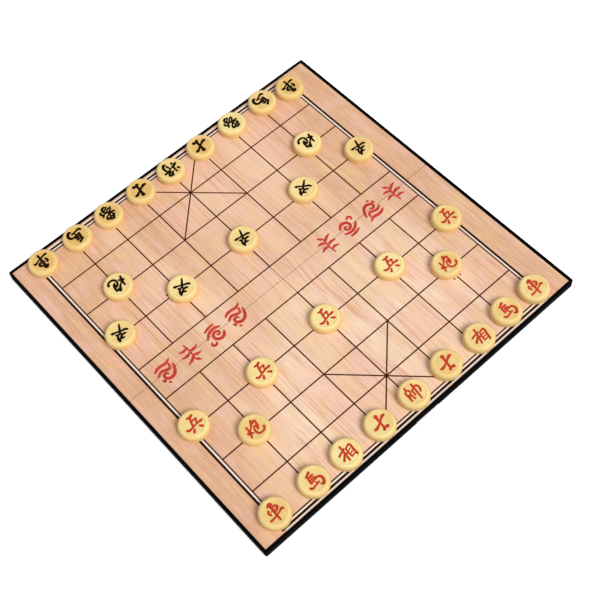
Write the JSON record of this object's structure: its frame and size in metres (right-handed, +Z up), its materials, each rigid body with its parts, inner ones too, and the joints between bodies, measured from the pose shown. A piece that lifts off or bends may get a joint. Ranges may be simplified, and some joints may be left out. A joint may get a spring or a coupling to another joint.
{
  "type": "folding xiangqi case",
  "caption": "Folding case that opens hollow side down into a xiangqi board with magnetic playing discs set out, and folds shut to store them.",
  "frame": {"origin": "on the table, under the middle of the open case", "axes": "+X along the fold, to the red player's right; +Y from the red side to the black side; +Z up"},
  "size_m": [0.36, 0.358, 0.0181],
  "materials": {
    "case_plastic": "moulded black ABS, satin",
    "tinned_steel": "tinned sheet",
    "printed_film": "satin film printed with pale wood grain and the board's lines",
    "foam": "fine closed-cell foam",
    "rubber_pad": "soft black rubber",
    "magnet_plating": "nickel plating",
    "pin_steel": "drawn steel rod",
    "disc_plastic": "cream yellow moulded plastic, satin, with painted marks"
  },
  "bodies": {
    "half_red": {"case_shell_red": "case_plastic", "steel_sheet_red": "tinned_steel", "board_film_red": "printed_film", "liner_red": "foam", "foot_pads_red": "rubber_pad", "closure_magnets_red": "magnet_plating", "hinge_pins": "pin_steel"},
    "half_black": {"case_shell_black": "case_plastic", "steel_sheet_black": "tinned_steel", "board_film_black": "printed_film", "liner_black": "foam", "foot_pads_black": "rubber_pad", "closure_magnets_black": "magnet_plating"},
    "disc_red_chariot_1": {"red_chariot_1": "disc_plastic"},
    "disc_red_horse_1": {"red_horse_1": "disc_plastic"},
    "disc_red_elephant_1": {"red_elephant_1": "disc_plastic"},
    "disc_red_advisor_1": {"red_advisor_1": "disc_plastic"},
    "disc_red_general": {"red_general": "disc_plastic"},
    "disc_red_advisor_2": {"red_advisor_2": "disc_plastic"},
    "disc_red_elephant_2": {"red_elephant_2": "disc_plastic"},
    "disc_red_horse_2": {"red_horse_2": "disc_plastic"},
    "disc_red_chariot_2": {"red_chariot_2": "disc_plastic"},
    "disc_red_cannon_1": {"red_cannon_1": "disc_plastic"},
    "disc_red_cannon_2": {"red_cannon_2": "disc_plastic"},
    "disc_red_soldier_1": {"red_soldier_1": "disc_plastic"},
    "disc_red_soldier_2": {"red_soldier_2": "disc_plastic"},
    "disc_red_soldier_3": {"red_soldier_3": "disc_plastic"},
    "disc_red_soldier_4": {"red_soldier_4": "disc_plastic"},
    "disc_red_soldier_5": {"red_soldier_5": "disc_plastic"},
    "disc_black_chariot_1": {"black_chariot_1": "disc_plastic"},
    "disc_black_horse_1": {"black_horse_1": "disc_plastic"},
    "disc_black_elephant_1": {"black_elephant_1": "disc_plastic"},
    "disc_black_advisor_1": {"black_advisor_1": "disc_plastic"},
    "disc_black_general": {"black_general": "disc_plastic"},
    "disc_black_advisor_2": {"black_advisor_2": "disc_plastic"},
    "disc_black_elephant_2": {"black_elephant_2": "disc_plastic"},
    "disc_black_horse_2": {"black_horse_2": "disc_plastic"},
    "disc_black_chariot_2": {"black_chariot_2": "disc_plastic"},
    "disc_black_cannon_1": {"black_cannon_1": "disc_plastic"},
    "disc_black_cannon_2": {"black_cannon_2": "disc_plastic"},
    "disc_black_soldier_1": {"black_soldier_1": "disc_plastic"},
    "disc_black_soldier_2": {"black_soldier_2": "disc_plastic"},
    "disc_black_soldier_3": {"black_soldier_3": "disc_plastic"},
    "disc_black_soldier_4": {"black_soldier_4": "disc_plastic"},
    "disc_black_soldier_5": {"black_soldier_5": "disc_plastic"}
  },
  "joints": [
    {"name": "fold", "type": "hinge", "parent": "half_red", "child": "half_black", "pos_m": [0, 0, 0.002], "axis": [-1, 0, 0], "range_deg": [0, 180]},
    {"name": "lift_red_chariot_1", "type": "slide", "parent": "half_red", "child": "disc_red_chariot_1", "axis": [0, 0, 1], "range_m": [0, 0.03]},
    {"name": "lift_red_horse_1", "type": "slide", "parent": "half_red", "child": "disc_red_horse_1", "axis": [0, 0, 1], "range_m": [0, 0.03]},
    {"name": "lift_red_elephant_1", "type": "slide", "parent": "half_red", "child": "disc_red_elephant_1", "axis": [0, 0, 1], "range_m": [0, 0.03]},
    {"name": "lift_red_advisor_1", "type": "slide", "parent": "half_red", "child": "disc_red_advisor_1", "axis": [0, 0, 1], "range_m": [0, 0.03]},
    {"name": "lift_red_general", "type": "slide", "parent": "half_red", "child": "disc_red_general", "axis": [0, 0, 1], "range_m": [0, 0.03]},
    {"name": "lift_red_advisor_2", "type": "slide", "parent": "half_red", "child": "disc_red_advisor_2", "axis": [0, 0, 1], "range_m": [0, 0.03]},
    {"name": "lift_red_elephant_2", "type": "slide", "parent": "half_red", "child": "disc_red_elephant_2", "axis": [0, 0, 1], "range_m": [0, 0.03]},
    {"name": "lift_red_horse_2", "type": "slide", "parent": "half_red", "child": "disc_red_horse_2", "axis": [0, 0, 1], "range_m": [0, 0.03]},
    {"name": "lift_red_chariot_2", "type": "slide", "parent": "half_red", "child": "disc_red_chariot_2", "axis": [0, 0, 1], "range_m": [0, 0.03]},
    {"name": "lift_red_cannon_1", "type": "slide", "parent": "half_red", "child": "disc_red_cannon_1", "axis": [0, 0, 1], "range_m": [0, 0.03]},
    {"name": "lift_red_cannon_2", "type": "slide", "parent": "half_red", "child": "disc_red_cannon_2", "axis": [0, 0, 1], "range_m": [0, 0.03]},
    {"name": "lift_red_soldier_1", "type": "slide", "parent": "half_red", "child": "disc_red_soldier_1", "axis": [0, 0, 1], "range_m": [0, 0.03]},
    {"name": "lift_red_soldier_2", "type": "slide", "parent": "half_red", "child": "disc_red_soldier_2", "axis": [0, 0, 1], "range_m": [0, 0.03]},
    {"name": "lift_red_soldier_3", "type": "slide", "parent": "half_red", "child": "disc_red_soldier_3", "axis": [0, 0, 1], "range_m": [0, 0.03]},
    {"name": "lift_red_soldier_4", "type": "slide", "parent": "half_red", "child": "disc_red_soldier_4", "axis": [0, 0, 1], "range_m": [0, 0.03]},
    {"name": "lift_red_soldier_5", "type": "slide", "parent": "half_red", "child": "disc_red_soldier_5", "axis": [0, 0, 1], "range_m": [0, 0.03]},
    {"name": "lift_black_chariot_1", "type": "slide", "parent": "half_black", "child": "disc_black_chariot_1", "axis": [0, 0, 1], "range_m": [0, 0.03]},
    {"name": "lift_black_horse_1", "type": "slide", "parent": "half_black", "child": "disc_black_horse_1", "axis": [0, 0, 1], "range_m": [0, 0.03]},
    {"name": "lift_black_elephant_1", "type": "slide", "parent": "half_black", "child": "disc_black_elephant_1", "axis": [0, 0, 1], "range_m": [0, 0.03]},
    {"name": "lift_black_advisor_1", "type": "slide", "parent": "half_black", "child": "disc_black_advisor_1", "axis": [0, 0, 1], "range_m": [0, 0.03]},
    {"name": "lift_black_general", "type": "slide", "parent": "half_black", "child": "disc_black_general", "axis": [0, 0, 1], "range_m": [0, 0.03]},
    {"name": "lift_black_advisor_2", "type": "slide", "parent": "half_black", "child": "disc_black_advisor_2", "axis": [0, 0, 1], "range_m": [0, 0.03]},
    {"name": "lift_black_elephant_2", "type": "slide", "parent": "half_black", "child": "disc_black_elephant_2", "axis": [0, 0, 1], "range_m": [0, 0.03]},
    {"name": "lift_black_horse_2", "type": "slide", "parent": "half_black", "child": "disc_black_horse_2", "axis": [0, 0, 1], "range_m": [0, 0.03]},
    {"name": "lift_black_chariot_2", "type": "slide", "parent": "half_black", "child": "disc_black_chariot_2", "axis": [0, 0, 1], "range_m": [0, 0.03]},
    {"name": "lift_black_cannon_1", "type": "slide", "parent": "half_black", "child": "disc_black_cannon_1", "axis": [0, 0, 1], "range_m": [0, 0.03]},
    {"name": "lift_black_cannon_2", "type": "slide", "parent": "half_black", "child": "disc_black_cannon_2", "axis": [0, 0, 1], "range_m": [0, 0.03]},
    {"name": "lift_black_soldier_1", "type": "slide", "parent": "half_black", "child": "disc_black_soldier_1", "axis": [0, 0, 1], "range_m": [0, 0.03]},
    {"name": "lift_black_soldier_2", "type": "slide", "parent": "half_black", "child": "disc_black_soldier_2", "axis": [0, 0, 1], "range_m": [0, 0.03]},
    {"name": "lift_black_soldier_3", "type": "slide", "parent": "half_black", "child": "disc_black_soldier_3", "axis": [0, 0, 1], "range_m": [0, 0.03]},
    {"name": "lift_black_soldier_4", "type": "slide", "parent": "half_black", "child": "disc_black_soldier_4", "axis": [0, 0, 1], "range_m": [0, 0.03]},
    {"name": "lift_black_soldier_5", "type": "slide", "parent": "half_black", "child": "disc_black_soldier_5", "axis": [0, 0, 1], "range_m": [0, 0.03]}
  ]
}
